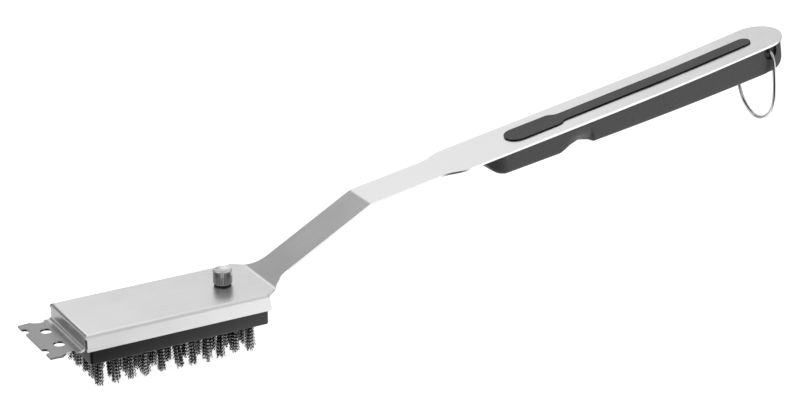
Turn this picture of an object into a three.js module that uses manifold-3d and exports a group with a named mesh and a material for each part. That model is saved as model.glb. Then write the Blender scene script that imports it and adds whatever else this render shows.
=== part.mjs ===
// Grill cleaning brush. A folded stainless frame carries a scraper, a wire brush that one thumb
// screw holds, and a two-part plastic grip with a wire hanging loop.
//
// Millimetres. +X runs from the brush to the end of the handle and +Z is up. The origin is on the
// tip of the middle tuft, so the bristles stand on the plane z = 0.

import * as THREE from 'three';
import { mergeVertices } from 'three/addons/utils/BufferGeometryUtils.js';
import Module from 'manifold-3d';

const wasm = await Module();
wasm.setup();

// ---------------------------------------------------------------- driving dimensions

const SHEET = 1.2; // thickness of the steel sheet
const REST_GAP = 0.3; // left between pieces that rest on each other
const ARC_STEPS = 8; // straight pieces in each drawn curve
const FOLD_STEPS = 4; // straight pieces in each fold
const ROUND_SIDES = 24; // flats around each turned piece
const REACH = 60; // further than any cut through the handle has to go
const MARGIN = 1; // how far a cutting solid stands clear of what it cuts

const TUFTS = { rows: 11, perRow: 5, pitchX: 8.97, pitchY: 9.5, radius: 2.3, sides: 8 };
const DRAW_WIRE_RADIUS = 0.7; // ties the tufts of a row together above the block's floor
const BRISTLE_LENGTH = 15.7; // wire that stands out of the block

const BLOCK = { front: -51, rear: 54.8, halfWidth: 23.2, cornerRadius: 1.5, height: 9.5 };
const BLOCK_FLOOR = 6;
const BLOCK_RIM = 2.5;
const TUFT_HOLE_RADIUS = TUFTS.radius + 0.35;
const COVER_HEIGHT = 7.2;

const HEAD = { front: -54, rear: 54.3, halfWidth: 25, rearHalfWidth: 24.9 };
const FLANGE = { height: 9.6, topEnd: 54.6, bottomEnd: 56.1 };
const CORNER_SLIT = { depth: 0.9, below: 2.2 }; // parts the front wall from each flange
const FLANGE_BEND = 2; // outside radius of the folds along the head
const SCRAPER = { reach: 19.4, drop: 8.5, halfWidth: 23.2 };
const SCRAPER_NOTCH = { y: 14.3, radius: 3.1 };
const SCRAPER_HOLE = { x: 8.7, y: 9.2, radius: 3.25 };
const SCRAPER_SCALLOP = { ear: 12.4, flare: 0.4, sweep: 10, deepest: 6.6, turn: 5.2, end: 4.2, depth: 2.4 };

const NECK = { start: 61.1, startHalfWidth: 19.3, halfWidth: 12.2, length: 73.4 };
const NECK_PITCH = THREE.MathUtils.degToRad(28.5);
const NECK_FILLET = 12;
const UPPER_BEND_RADIUS = 7;

// Along the handle, s is the distance from the upper bend.
const HANDLE_PITCH = THREE.MathUtils.degToRad(9.65);
const HANDLE = { widensFrom: 46, widensTo: 64, halfWidth: 16.55, length: 296.5 };
const HANDLE_STRAIGHT = 160; // beyond this s the handle curves gently upwards
const HANDLE_CURVE_RADIUS = 3000;
const CURVE_STEPS = 6;

const INLAY = { start: 98, wide: 7.85, narrowsFrom: 130, narrowsTo: 138, narrow: 4.8, end: 275.5 };
const INLAY_PROUD = 0.9; // top of the inlay above the steel
const INLAY_CAP = 0.7; // thickness of the rim that lies on the steel
const INLAY_LIP = 1; // width of that rim

const SHELL = { tip: 74, side: 89, halfWidth: 15.5, endInset: 1.2, rearRun: 19, rearRise: 13 };
const SHELL_DEPTH = { at: 90, depth: 12, perMillimetre: 0.0251 };
const SHELL_FRONT = { slant: 6, cornerRise: 3, corner: 8, cornerEnd: 12 };
const SHELL_FLOOR = 5.5;
const SHELL_WALL = 2.5;
const SHELL_CAVITY = { from: 92, to: 266 };
const FINGER_NOTCH = { from: 124, deepFrom: 133, deepTo: 139, to: 148, depth: 3, rearDepth: 2.7 };

const GRIP_SCREW = { shank: 1.4, length: 9, head: 2.8, headHeight: 1.9 };
const GRIP_SCREW_STATIONS = { front: 114, middle: 190, rear: 258 };
const SCREW_RECESS = { radius: 3.2, depth: 3, hole: 1.8 };
const POST = { radius: 3, pilotRadius: 1.7 };

const LOOP = { s: 279.8, depth: 4.6, wire: 1.1, lean: THREE.MathUtils.degToRad(6) };
// Half of the loop's path: distance from the middle, and drop below the pivot.
const LOOP_BOW = [
  [9, 0], [13.4, 0], [16.9, 2.6], [18.2, 12], [17.6, 28.8], [14.4, 38.5], [8, 44.9], [0, 47.5],
];
const LOOP_STEPS = 48;
const LOOP_SIDES = 10;
const LOOP_HOLE = { radius: 1.45, innerY: 8 };
const LOOP_DISH = { radius: 5, depth: 2.5 };

const THUMB_SCREW = { x: 38.4, knob: 5.4, knobHeight: 8.4, chamfer: 0.6, shank: 2.45, tip: 26.3 };
const THUMB_HOLE = 2.9;
const WASHER = { inner: 2.7, outer: 4.8, thickness: 0.7 };
const INSERT = { bore: 2.7, body: 4, flange: 5.5, flangeHeight: 1.2 };

// Heights that follow from the stack: bristles, block, cover, sheet.
const BLOCK_TOP = BRISTLE_LENGTH + BLOCK.height;
const COVER_BOTTOM = BLOCK_TOP + REST_GAP;
const COVER_TOP = COVER_BOTTOM + COVER_HEIGHT;
const HEAD_TOP = COVER_TOP + REST_GAP + SHEET;
const UPPER_BEND = new THREE.Vector2(
  NECK.start + NECK.length * Math.cos(NECK_PITCH),
  HEAD_TOP + NECK.length * Math.sin(NECK_PITCH),
);

// ---------------------------------------------------------------- solids

// The manifold solid of a closed three.js geometry.
function solid(geometry) {
  const bare = new THREE.BufferGeometry();
  bare.setAttribute('position', geometry.getAttribute('position'));
  bare.setIndex(geometry.getIndex());
  const merged = mergeVertices(bare, 1e-4);
  const corners = merged.getIndex().array;
  const triVerts = [];
  for (let i = 0; i < corners.length; i += 3) {
    const [a, b, c] = corners.slice(i, i + 3);
    if (a !== b && b !== c && c !== a) triVerts.push(a, b, c);
  }
  return new wasm.Manifold(new wasm.Mesh({
    numProp: 3,
    vertProperties: new Float32Array(merged.getAttribute('position').array),
    triVerts: new Uint32Array(triVerts),
  }));
}

function geometryOf(manifold) {
  const { vertProperties, triVerts } = manifold.getMesh();
  const geometry = new THREE.BufferGeometry();
  geometry.setAttribute('position', new THREE.BufferAttribute(vertProperties, 3));
  geometry.setIndex(new THREE.BufferAttribute(triVerts, 1));
  geometry.computeVertexNormals();
  return geometry;
}

const extruded = (shape, depth) => new THREE.ExtrudeGeometry(shape, {
  depth, bevelEnabled: false, curveSegments: ARC_STEPS,
});

// A plan outline (x, y) raised from one height to another.
function prismUp(outline, low, high) {
  return solid(extruded(outline, high - low).translate(0, 0, low));
}

// A side outline (x, z) spread to both sides of y = 0.
function prismAcross(outline, halfWidth) {
  const geometry = extruded(outline, 2 * halfWidth).translate(0, 0, -halfWidth);
  return solid(geometry.rotateX(Math.PI / 2));
}

// A cross-section (y, z) drawn out along x.
function prismAlong(section, from, to) {
  const geometry = extruded(section, to - from).translate(0, 0, from);
  const axes = new THREE.Matrix4().makeBasis(
    new THREE.Vector3(0, 1, 0), new THREE.Vector3(0, 0, 1), new THREE.Vector3(1, 0, 0),
  );
  return solid(geometry.applyMatrix4(axes));
}

// A round bar that stands on end.
function barUp(radius, low, high, x, y, sides = ROUND_SIDES) {
  const geometry = new THREE.CylinderGeometry(radius, radius, high - low, sides);
  return solid(geometry.rotateX(Math.PI / 2).translate(x, y, (low + high) / 2));
}

// A round bar that lies across the part.
function barAcross(radius, fromY, toY, x, z, sides = 16) {
  const geometry = new THREE.CylinderGeometry(radius, radius, toY - fromY, sides);
  return solid(geometry.translate(x, (fromY + toY) / 2, z));
}

// A turned piece from its profile of [radius, height] pairs, standing at (x, y).
function turned(profile, x = 0, y = 0) {
  const points = profile.map(([r, z]) => new THREE.Vector2(r, z));
  return solid(new THREE.LatheGeometry(points, ROUND_SIDES).rotateX(Math.PI / 2).translate(x, y, 0));
}

// A closed outline from its edge at y > 0, mirrored to the other side of the x axis.
function mirroredShape(edge) {
  const left = edge.getPoints(ARC_STEPS);
  const right = left.filter((p) => p.y > 1e-6).map((p) => new THREE.Vector2(p.x, -p.y));
  return new THREE.Shape([...left, ...right.reverse()]);
}

function roundedRectangle(fromX, toX, halfWidth, radius) {
  const edge = new THREE.Path();
  edge.moveTo(fromX, halfWidth - radius);
  edge.absarc(fromX + radius, halfWidth - radius, radius, Math.PI, Math.PI / 2, true);
  edge.absarc(toX - radius, halfWidth - radius, radius, Math.PI / 2, 0, true);
  return mirroredShape(edge);
}

// ---------------------------------------------------------------- the bent sheet

const direction = (angle) => new THREE.Vector2(Math.cos(angle), Math.sin(angle));
const upFrom = (angle) => new THREE.Vector2(-Math.sin(angle), Math.cos(angle));

// How far the curved handle's top face stands above the straight line from the upper bend.
function handleRise(s) {
  const beyond = Math.max(0, s - HANDLE_STRAIGHT);
  return beyond ** 2 / (2 * HANDLE_CURVE_RADIUS);
}

const handleSlope = (s) => Math.max(0, s - HANDLE_STRAIGHT) / HANDLE_CURVE_RADIUS;

function handlePoint(s) {
  return UPPER_BEND.clone()
    .addScaledVector(direction(HANDLE_PITCH), s)
    .addScaledVector(upFrom(HANDLE_PITCH), handleRise(s));
}

// Places along s where the curved part of the handle is sampled.
function curveStations(from, to) {
  const stations = [from];
  const start = Math.max(from, HANDLE_STRAIGHT);
  for (let i = 0; i <= CURVE_STEPS; i += 1) {
    stations.push(start + ((to - start) * i) / CURVE_STEPS);
  }
  return stations;
}

// One rounded fold of the top face: points on its arc, each with the sheet's heading there.
function foldAt(corner, before, after, radius) {
  const turn = after - before;
  const side = Math.sign(turn);
  const start = corner.clone().addScaledVector(direction(before), -radius * Math.tan(Math.abs(turn) / 2));
  const centre = start.clone().addScaledVector(upFrom(before), side * radius);
  const arc = [];
  for (let i = 0; i <= FOLD_STEPS; i += 1) {
    const heading = before + (turn * i) / FOLD_STEPS;
    arc.push({ at: centre.clone().addScaledVector(upFrom(heading), -side * radius), heading });
  }
  return arc;
}

// The sheet's side view: up the scraper, front wall, head, neck and handle on the top face,
// and back along the underside.
function sheetProfile() {
  const scraperTop = HEAD_TOP - SCRAPER.drop;
  const upright = Math.PI / 2;
  const top = [
    { at: new THREE.Vector2(HEAD.front - SCRAPER.reach, scraperTop), heading: 0 },
    ...foldAt(new THREE.Vector2(HEAD.front, scraperTop), 0, upright, FLANGE_BEND),
    ...foldAt(new THREE.Vector2(HEAD.front, HEAD_TOP), upright, 0, FLANGE_BEND),
    ...foldAt(new THREE.Vector2(NECK.start, HEAD_TOP), 0, NECK_PITCH, 2 * FLANGE_BEND),
    ...foldAt(UPPER_BEND, NECK_PITCH, HANDLE_PITCH, UPPER_BEND_RADIUS),
    ...curveStations(HANDLE_STRAIGHT, HANDLE.length + SHEET).slice(1).map((s) => (
      { at: handlePoint(s), heading: HANDLE_PITCH + handleSlope(s) }
    )),
  ];
  const underside = top.map(({ at, heading }) => at.clone().addScaledVector(upFrom(heading), -SHEET));
  return new THREE.Shape([...top.map(({ at }) => at), ...underside.reverse()]);
}

// Scraper seen from above: notched front edge with four teeth, and a scallop in each side
// behind a pointed ear.
function scraperOutline() {
  const { y, radius } = SCRAPER_NOTCH;
  const { ear, flare, sweep, deepest, turn, end, depth } = SCRAPER_SCALLOP;
  const front = HEAD.front - SCRAPER.reach;
  const side = SCRAPER.halfWidth;
  const edge = new THREE.Path();
  edge.moveTo(front, 0);
  edge.lineTo(front, y - radius);
  edge.absarc(front, y, radius, -Math.PI / 2, Math.PI / 2, false);
  edge.lineTo(front, side);
  edge.lineTo(HEAD.front - ear, side + flare);
  edge.quadraticCurveTo(HEAD.front - sweep, side - depth, HEAD.front - deepest, side - depth);
  edge.quadraticCurveTo(HEAD.front - turn, side - depth, HEAD.front - end, side);
  edge.lineTo(HEAD.front + FLANGE_BEND, side);
  return mirroredShape(edge);
}

// Head plate between its side folds, rear corners cut back to the neck.
function headOutline() {
  const { halfWidth, rearHalfWidth, front, rear } = HEAD;
  const flat = halfWidth - FLANGE_BEND;
  const edge = new THREE.Path();
  edge.moveTo(front, flat);
  edge.lineTo(rear - SHEET / 2, flat);
  edge.lineTo(rear, rearHalfWidth);
  edge.lineTo(NECK.start, NECK.startHalfWidth);
  edge.quadraticCurveTo(
    NECK.start + NECK_FILLET / 3, NECK.halfWidth, NECK.start + NECK_FILLET, NECK.halfWidth,
  );
  edge.lineTo(UPPER_BEND.x - NECK_FILLET, NECK.halfWidth);
  return mirroredShape(edge);
}

// Neck and handle plate in the handle's own plane.
function handleOutline() {
  const { widensFrom, widensTo, halfWidth, length } = HANDLE;
  const middle = (widensFrom + widensTo) / 2;
  const edge = new THREE.Path();
  edge.moveTo(-2 * NECK_FILLET, NECK.halfWidth);
  edge.lineTo(widensFrom, NECK.halfWidth);
  edge.bezierCurveTo(middle, NECK.halfWidth, middle, halfWidth, widensTo, halfWidth);
  edge.absarc(length - halfWidth, 0, halfWidth, Math.PI / 2, 0, true);
  return mirroredShape(edge);
}

// The inlay's outline, or one that lies inside it by inset: wide and round towards the head,
// narrow and round towards the end.
function inlayOutline(inset) {
  const wide = INLAY.wide - inset;
  const narrow = INLAY.narrow - inset;
  const middle = (INLAY.narrowsFrom + INLAY.narrowsTo) / 2;
  const edge = new THREE.Path();
  edge.moveTo(INLAY.start + inset, 0);
  edge.absarc(INLAY.start + INLAY.wide, 0, wide, Math.PI, Math.PI / 2, true);
  edge.lineTo(INLAY.narrowsFrom, wide);
  edge.bezierCurveTo(middle, wide, middle, narrow, INLAY.narrowsTo, narrow);
  edge.absarc(INLAY.end - INLAY.narrow, 0, narrow, Math.PI / 2, 0, true);
  return mirroredShape(edge);
}

// Head plate with its two side flanges, seen from the front.
function channelSection() {
  const outside = HEAD.halfWidth;
  const inside = outside - SHEET;
  const bendY = outside - FLANGE_BEND;
  const bendZ = HEAD_TOP - FLANGE_BEND;
  const innerRadius = FLANGE_BEND - SHEET;
  const foot = HEAD_TOP - FLANGE.height;
  const section = new THREE.Shape();
  section.moveTo(-outside, foot);
  section.lineTo(-outside, bendZ);
  section.absarc(-bendY, bendZ, FLANGE_BEND, Math.PI, Math.PI / 2, true);
  section.absarc(bendY, bendZ, FLANGE_BEND, Math.PI / 2, 0, true);
  section.lineTo(outside, foot);
  section.lineTo(inside, foot);
  section.absarc(bendY, bendZ, innerRadius, 0, Math.PI / 2, false);
  section.absarc(-bendY, bendZ, innerRadius, Math.PI / 2, Math.PI, false);
  section.lineTo(-inside, foot);
  return new THREE.Shape(section.getPoints(FOLD_STEPS));
}

// Side view of the head's envelope: round corner at the front fold, flange ends that lean back.
function channelSide() {
  const bendZ = HEAD_TOP - FLANGE_BEND;
  const side = new THREE.Shape();
  side.moveTo(HEAD.front, 0);
  side.lineTo(HEAD.front, bendZ);
  side.absarc(HEAD.front + FLANGE_BEND, bendZ, FLANGE_BEND, Math.PI, Math.PI / 2, true);
  side.lineTo(FLANGE.topEnd, HEAD_TOP);
  side.lineTo(FLANGE.bottomEnd, HEAD_TOP - FLANGE.height);
  side.lineTo(FLANGE.bottomEnd, 0);
  return new THREE.Shape(side.getPoints(FOLD_STEPS));
}

// Moves a solid from the handle's frame (s, y, height) to the part's frame.
function onHandle(manifold) {
  const degrees = -THREE.MathUtils.radToDeg(HANDLE_PITCH);
  return manifold.rotate([0, degrees, 0]).translate([UPPER_BEND.x, 0, UPPER_BEND.y]);
}

// Open corner between the front wall and one flange.
function cornerSlit(side) {
  const slit = new THREE.BoxGeometry(CORNER_SLIT.depth + MARGIN, FLANGE_BEND, HEAD_TOP);
  return solid(slit.translate(
    HEAD.front + (CORNER_SLIT.depth - MARGIN) / 2,
    side * (SCRAPER.halfWidth + FLANGE_BEND / 2),
    HEAD_TOP / 2 - CORNER_SLIT.below,
  ));
}

function steelFrame() {
  const strip = prismAcross(sheetProfile(), HEAD.halfWidth);
  const plan = prismUp(scraperOutline(), 0, HEAD_TOP + MARGIN)
    .add(prismUp(headOutline(), 0, UPPER_BEND.y + REACH))
    .add(onHandle(prismUp(handleOutline(), -REACH, REACH)));
  const channel = prismAlong(channelSection(), HEAD.front, FLANGE.bottomEnd)
    .intersect(prismAcross(channelSide(), HEAD.halfWidth + MARGIN));
  let frame = strip.intersect(plan).add(channel);
  for (const y of [-SCRAPER_HOLE.y, SCRAPER_HOLE.y]) {
    frame = frame.subtract(
      barUp(SCRAPER_HOLE.radius, 0, HEAD_TOP, HEAD.front - SCRAPER_HOLE.x, y),
    );
  }
  for (const side of [-1, 1]) {
    frame = frame.subtract(cornerSlit(side));
  }
  frame = frame.subtract(barUp(THUMB_HOLE, COVER_TOP, HEAD_TOP + MARGIN, THUMB_SCREW.x, 0));
  return frame.subtract(onHandle(prismUp(inlayOutline(INLAY_LIP), -REACH, REACH)));
}

// ---------------------------------------------------------------- the wire brush

const rowX = (row) => (row - (TUFTS.rows - 1) / 2) * TUFTS.pitchX;
const tuftY = (tuft) => (tuft - (TUFTS.perRow - 1) / 2) * TUFTS.pitchY;

// Five tufts across the block, tied by the draw wire that holds them from above.
function tuftRow(row) {
  const floorTop = BRISTLE_LENGTH + BLOCK_FLOOR;
  const wireZ = floorTop + REST_GAP + DRAW_WIRE_RADIUS;
  const x = rowX(row);
  let tufts = barAcross(DRAW_WIRE_RADIUS, tuftY(0), tuftY(TUFTS.perRow - 1), x, wireZ, 6);
  for (let tuft = 0; tuft < TUFTS.perRow; tuft += 1) {
    const top = wireZ + DRAW_WIRE_RADIUS + REST_GAP;
    tufts = tufts.add(barUp(TUFTS.radius, 0, top, x, tuftY(tuft), TUFTS.sides));
  }
  return tufts;
}

function blockOutline(inset) {
  return roundedRectangle(
    BLOCK.front + inset, BLOCK.rear - inset, BLOCK.halfWidth - inset, BLOCK.cornerRadius,
  );
}

function brushBlock() {
  const floorTop = BRISTLE_LENGTH + BLOCK_FLOOR;
  let block = prismUp(blockOutline(0), BRISTLE_LENGTH, BLOCK_TOP)
    .subtract(prismUp(blockOutline(BLOCK_RIM), floorTop, BLOCK_TOP + MARGIN));
  for (let row = 0; row < TUFTS.rows; row += 1) {
    for (let tuft = 0; tuft < TUFTS.perRow; tuft += 1) {
      block = block.subtract(
        barUp(TUFT_HOLE_RADIUS, 0, BLOCK_TOP, rowX(row), tuftY(tuft), TUFTS.sides),
      );
    }
  }
  return block;
}

function blockCover() {
  const { body, flange, flangeHeight } = INSERT;
  const flangeRoom = COVER_BOTTOM + flangeHeight + 2 * REST_GAP;
  return prismUp(blockOutline(0), COVER_BOTTOM, COVER_TOP)
    .subtract(barUp(body + REST_GAP, 0, HEAD_TOP, THUMB_SCREW.x, 0))
    .subtract(barUp(flange + REST_GAP, 0, flangeRoom, THUMB_SCREW.x, 0));
}

function threadedInsert() {
  const { bore, body, flange, flangeHeight } = INSERT;
  const bottom = COVER_BOTTOM + REST_GAP;
  const shoulder = bottom + flangeHeight;
  const top = COVER_TOP - REST_GAP;
  return turned([
    [bore, bottom], [flange, bottom], [flange, shoulder], [body, shoulder], [body, top], [bore, top],
    [bore, bottom],
  ], THUMB_SCREW.x);
}

// ---------------------------------------------------------------- the thumb screw

const WASHER_BOTTOM = HEAD_TOP + REST_GAP / 2;
const KNOB_BOTTOM = WASHER_BOTTOM + WASHER.thickness + REST_GAP / 2;

function screwWasher() {
  const { inner, outer, thickness } = WASHER;
  const top = WASHER_BOTTOM + thickness;
  return turned([
    [inner, WASHER_BOTTOM], [outer, WASHER_BOTTOM], [outer, top], [inner, top], [inner, WASHER_BOTTOM],
  ], THUMB_SCREW.x);
}

function thumbScrew() {
  const { knob, knobHeight, chamfer, shank, tip } = THUMB_SCREW;
  const top = KNOB_BOTTOM + knobHeight;
  return turned([
    [0, tip], [shank - chamfer, tip], [shank, tip + chamfer], [shank, KNOB_BOTTOM], [knob, KNOB_BOTTOM],
    [knob, top - chamfer], [knob - chamfer, top], [0, top],
  ], THUMB_SCREW.x);
}

// ---------------------------------------------------------------- the grip, in the handle's frame

// Height of the shell's underside, without the finger notch.
function shellBottom(s) {
  const depth = SHELL_DEPTH.depth + (s - SHELL_DEPTH.at) * SHELL_DEPTH.perMillimetre;
  return handleRise(s) - SHEET - depth;
}

const shellTop = (s) => handleRise(s) - SHEET - REST_GAP;

function shellSide() {
  const { tip, rearRun, rearRise } = SHELL;
  const { slant, cornerRise, corner, cornerEnd } = SHELL_FRONT;
  const { from, deepFrom, deepTo, to, depth, rearDepth } = FINGER_NOTCH;
  const end = HANDLE.length - SHELL.endInset;
  const ramp = (from + deepFrom) / 2;
  const side = new THREE.Shape();
  side.moveTo(tip, shellTop(tip));
  side.lineTo(tip + slant, shellBottom(tip) + cornerRise);
  side.quadraticCurveTo(tip + corner, shellBottom(tip), tip + cornerEnd, shellBottom(tip));
  side.lineTo(from, shellBottom(from));
  side.bezierCurveTo(
    ramp, shellBottom(ramp), ramp, shellBottom(ramp) + depth, deepFrom, shellBottom(deepFrom) + depth,
  );
  side.lineTo(deepTo, shellBottom(deepTo) + rearDepth);
  side.lineTo(to, shellBottom(to));
  for (const s of curveStations(HANDLE_STRAIGHT, end - rearRun).slice(1)) {
    side.lineTo(s, shellBottom(s));
  }
  side.quadraticCurveTo(end, shellBottom(end), end, shellBottom(end) + rearRise);
  for (const s of curveStations(HANDLE_STRAIGHT, end).reverse()) {
    side.lineTo(s, shellTop(s));
  }
  return side;
}

function shellPlan() {
  const { tip, side, halfWidth, endInset } = SHELL;
  const end = HANDLE.length - endInset;
  const edge = new THREE.Path();
  edge.moveTo(tip, 0);
  edge.absellipse(side, 0, side - tip, halfWidth, Math.PI, Math.PI / 2, true);
  edge.absarc(end - halfWidth, 0, halfWidth, Math.PI / 2, 0, true);
  return mirroredShape(edge);
}

// Room inside the shell for the inlay's web and posts, open towards the steel.
function shellCavity() {
  const { from, to } = SHELL_CAVITY;
  const floor = (s) => shellBottom(s) + SHELL_FLOOR;
  const side = new THREE.Shape();
  side.moveTo(from, REACH);
  side.lineTo(from, floor(from));
  for (const s of curveStations(HANDLE_STRAIGHT, to)) {
    side.lineTo(s, floor(s));
  }
  side.lineTo(to, REACH);
  return prismAcross(side, SHELL.halfWidth - SHELL_WALL);
}

// Recess from below and clearance hole for one grip screw.
function screwWell(s) {
  return barUp(SCREW_RECESS.radius, -REACH, shellBottom(s) + SCREW_RECESS.depth, s, 0)
    .add(barUp(SCREW_RECESS.hole, -REACH, 0, s, 0));
}

// Pivot hole for the loop and the round dish around its mouth, on one side of the shell.
function loopSocket(side) {
  const height = handleRise(LOOP.s) - LOOP.depth;
  const openFrom = (y, radius) => {
    const ends = [side * y, side * REACH].sort((a, b) => a - b);
    return barAcross(radius, ...ends, LOOP.s, height);
  };
  return openFrom(LOOP_HOLE.innerY, LOOP_HOLE.radius)
    .add(openFrom(SHELL.halfWidth - LOOP_DISH.depth, LOOP_DISH.radius));
}

function gripShell() {
  let shell = prismAcross(shellSide(), SHELL.halfWidth + MARGIN)
    .intersect(prismUp(shellPlan(), -REACH, REACH))
    .subtract(shellCavity());
  for (const station of Object.values(GRIP_SCREW_STATIONS)) {
    shell = shell.subtract(screwWell(station));
  }
  for (const side of [-1, 1]) {
    shell = shell.subtract(loopSocket(side));
  }
  return shell;
}

// Side view of a layer that follows the handle's curve between two heights over its top face.
function layer(low, high) {
  const stations = curveStations(INLAY.start - MARGIN, INLAY.end + MARGIN);
  const upper = stations.map((s) => new THREE.Vector2(s, handleRise(s) + high));
  const lower = stations.map((s) => new THREE.Vector2(s, handleRise(s) + low));
  return prismAcross(new THREE.Shape([...upper, ...lower.reverse()]), INLAY.wide + MARGIN);
}

// Cap on the steel, web through the slot, and three posts for the screws.
function gripInlay() {
  const capBottom = INLAY_PROUD - INLAY_CAP;
  const cap = prismUp(inlayOutline(0), -REACH, REACH).intersect(layer(capBottom, INLAY_PROUD));
  const web = prismUp(inlayOutline(INLAY_LIP + REST_GAP), -REACH, REACH)
    .intersect(layer(-SHEET, INLAY_PROUD - INLAY_CAP / 2));
  let inlay = cap.add(web);
  for (const s of Object.values(GRIP_SCREW_STATIONS)) {
    const foot = shellBottom(s) + SHELL_FLOOR + REST_GAP;
    const pilotTop = shellBottom(s) + SCREW_RECESS.depth + GRIP_SCREW.length + REST_GAP;
    inlay = inlay
      .add(barUp(POST.radius, foot, handleRise(s) - SHEET / 2, s, 0))
      .subtract(barUp(POST.pilotRadius, foot - MARGIN, pilotTop, s, 0));
  }
  return inlay;
}

function gripScrew(s) {
  const { shank, length, head, headHeight } = GRIP_SCREW;
  const seat = shellBottom(s) + SCREW_RECESS.depth - REST_GAP;
  const tip = seat + length;
  const bottom = seat - headHeight;
  return turned([[0, bottom], [head, bottom], [head, seat], [shank, seat], [shank, tip], [0, tip]], s);
}

// Bent wire in the plane x = 0: its ends point inwards on the pivot line, the bow hangs down.
function hangingLoop() {
  const near = LOOP_BOW.map(([y, drop]) => new THREE.Vector3(0, -y, -drop));
  const far = LOOP_BOW.slice(0, -1).map(([y, drop]) => new THREE.Vector3(0, y, -drop));
  const path = new THREE.CatmullRomCurve3([...near, ...far.reverse()]);
  const section = new THREE.Shape().absarc(0, 0, LOOP.wire, 0, 2 * Math.PI, false);
  return solid(new THREE.ExtrudeGeometry(section, {
    steps: LOOP_STEPS, curveSegments: LOOP_SIDES / 2, extrudePath: path,
  }));
}

// ---------------------------------------------------------------- assembly

const finish = (color, roughness, metalness) => (
  new THREE.MeshStandardMaterial({ color, roughness, metalness })
);
const BRUSHED_STEEL = finish(0xc9c9c8, 0.35, 1);
const WIRE_STEEL = finish(0x8c8c8c, 0.4, 1);
const BLACK_PLASTIC = finish(0x2b2b2c, 0.6, 0);
const GRIP_PLASTIC = finish(0x434344, 0.55, 0);
const BRASS = finish(0xb08d4a, 0.4, 1);

function part(name, manifold, material) {
  const mesh = new THREE.Mesh(geometryOf(manifold), material);
  mesh.name = name;
  return mesh;
}

function wireBrush() {
  const brush = new THREE.Group();
  brush.add(
    part('brush_block', brushBlock(), BLACK_PLASTIC),
    part('block_cover', blockCover(), BLACK_PLASTIC),
    part('threaded_insert', threadedInsert(), BRASS),
  );
  for (let row = 0; row < TUFTS.rows; row += 1) {
    const number = String(row + 1).padStart(2, '0');
    brush.add(part(`tuft_row_${number}`, tuftRow(row), WIRE_STEEL));
  }
  return brush;
}

function grip() {
  const group = new THREE.Group();
  group.position.set(UPPER_BEND.x, 0, UPPER_BEND.y);
  group.rotation.y = -HANDLE_PITCH;
  group.add(
    part('grip_shell', gripShell(), GRIP_PLASTIC),
    part('grip_inlay', gripInlay(), GRIP_PLASTIC),
  );
  for (const [place, s] of Object.entries(GRIP_SCREW_STATIONS)) {
    group.add(part(`grip_screw_${place}`, gripScrew(s), WIRE_STEEL));
  }
  const loop = part('hanging_loop', hangingLoop(), BRUSHED_STEEL);
  loop.position.set(LOOP.s, 0, handleRise(LOOP.s) - LOOP.depth);
  loop.rotation.y = HANDLE_PITCH - LOOP.lean;
  group.add(loop);
  return group;
}

const brush = new THREE.Group();
brush.add(
  part('steel_frame', steelFrame(), BRUSHED_STEEL),
  part('screw_washer', screwWasher(), BLACK_PLASTIC),
  part('thumb_screw', thumbScrew(), BRUSHED_STEEL),
  wireBrush(),
  grip(),
);

export default brush;
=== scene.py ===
"""Looks for the grill cleaning brush: pieces in mesh code and procedural materials on the CAD frame."""

import math
import random

import bmesh
import bpy
from mathutils import Matrix, Vector


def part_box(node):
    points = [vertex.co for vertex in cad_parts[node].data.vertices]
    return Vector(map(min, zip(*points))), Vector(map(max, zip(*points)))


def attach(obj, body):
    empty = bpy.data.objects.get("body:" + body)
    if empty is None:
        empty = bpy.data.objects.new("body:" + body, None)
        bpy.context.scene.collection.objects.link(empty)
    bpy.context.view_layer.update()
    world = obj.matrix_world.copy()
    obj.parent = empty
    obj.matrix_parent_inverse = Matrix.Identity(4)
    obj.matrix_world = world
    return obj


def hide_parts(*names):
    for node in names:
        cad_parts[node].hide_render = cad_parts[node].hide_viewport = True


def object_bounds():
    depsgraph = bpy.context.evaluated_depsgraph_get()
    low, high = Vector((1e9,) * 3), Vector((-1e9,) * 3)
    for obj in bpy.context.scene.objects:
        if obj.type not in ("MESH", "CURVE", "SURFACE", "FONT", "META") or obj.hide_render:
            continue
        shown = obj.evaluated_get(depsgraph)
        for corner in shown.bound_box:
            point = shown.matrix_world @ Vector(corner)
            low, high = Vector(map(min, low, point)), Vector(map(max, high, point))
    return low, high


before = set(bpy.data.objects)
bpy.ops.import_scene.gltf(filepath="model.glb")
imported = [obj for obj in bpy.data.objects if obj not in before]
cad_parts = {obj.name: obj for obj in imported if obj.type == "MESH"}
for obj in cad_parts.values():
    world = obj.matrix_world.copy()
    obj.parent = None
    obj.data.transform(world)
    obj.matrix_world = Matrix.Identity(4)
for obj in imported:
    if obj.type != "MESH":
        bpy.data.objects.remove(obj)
cad_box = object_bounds()

MM = 0.001
MERGE_DISTANCE = 0.001 * MM
SEED = 7

# ---------------------------------------------------------------- dimensions, in millimetres

SHEET = 1.2
REST_GAP = 0.3
FLOOR_GAP = 0.2

HEAD_TOP = 34.2
SCRAPER_SHADE = (-57.5, -55.5)  # ahead of this the sheet's base colour is darkened: painted shade standing in for the darker reflection the scraper catches
NECK_START = 61.1
NECK_LENGTH = 73.4
NECK_PITCH = math.radians(28.5)
HANDLE_PITCH = math.radians(9.65)
HANDLE_STRAIGHT = 160
HANDLE_CURVE_RADIUS = 3000

TUFT_ROWS = 11
TUFTS_PER_ROW = 5
TUFT_PITCH_X = 8.97
TUFT_PITCH_Y = 9.5
TUFT_RADIUS = 2.3
BRISTLE_LENGTH = 15.7
WIRES_PER_TUFT = 28
WIRE_RADIUS = 0.27
CRIMP = {"length": 1.9, "height": 0.34, "points": 5}
GOLDEN_ANGLE = math.pi * (3 - math.sqrt(5))  # spaces the wires evenly over a round hole
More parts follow.
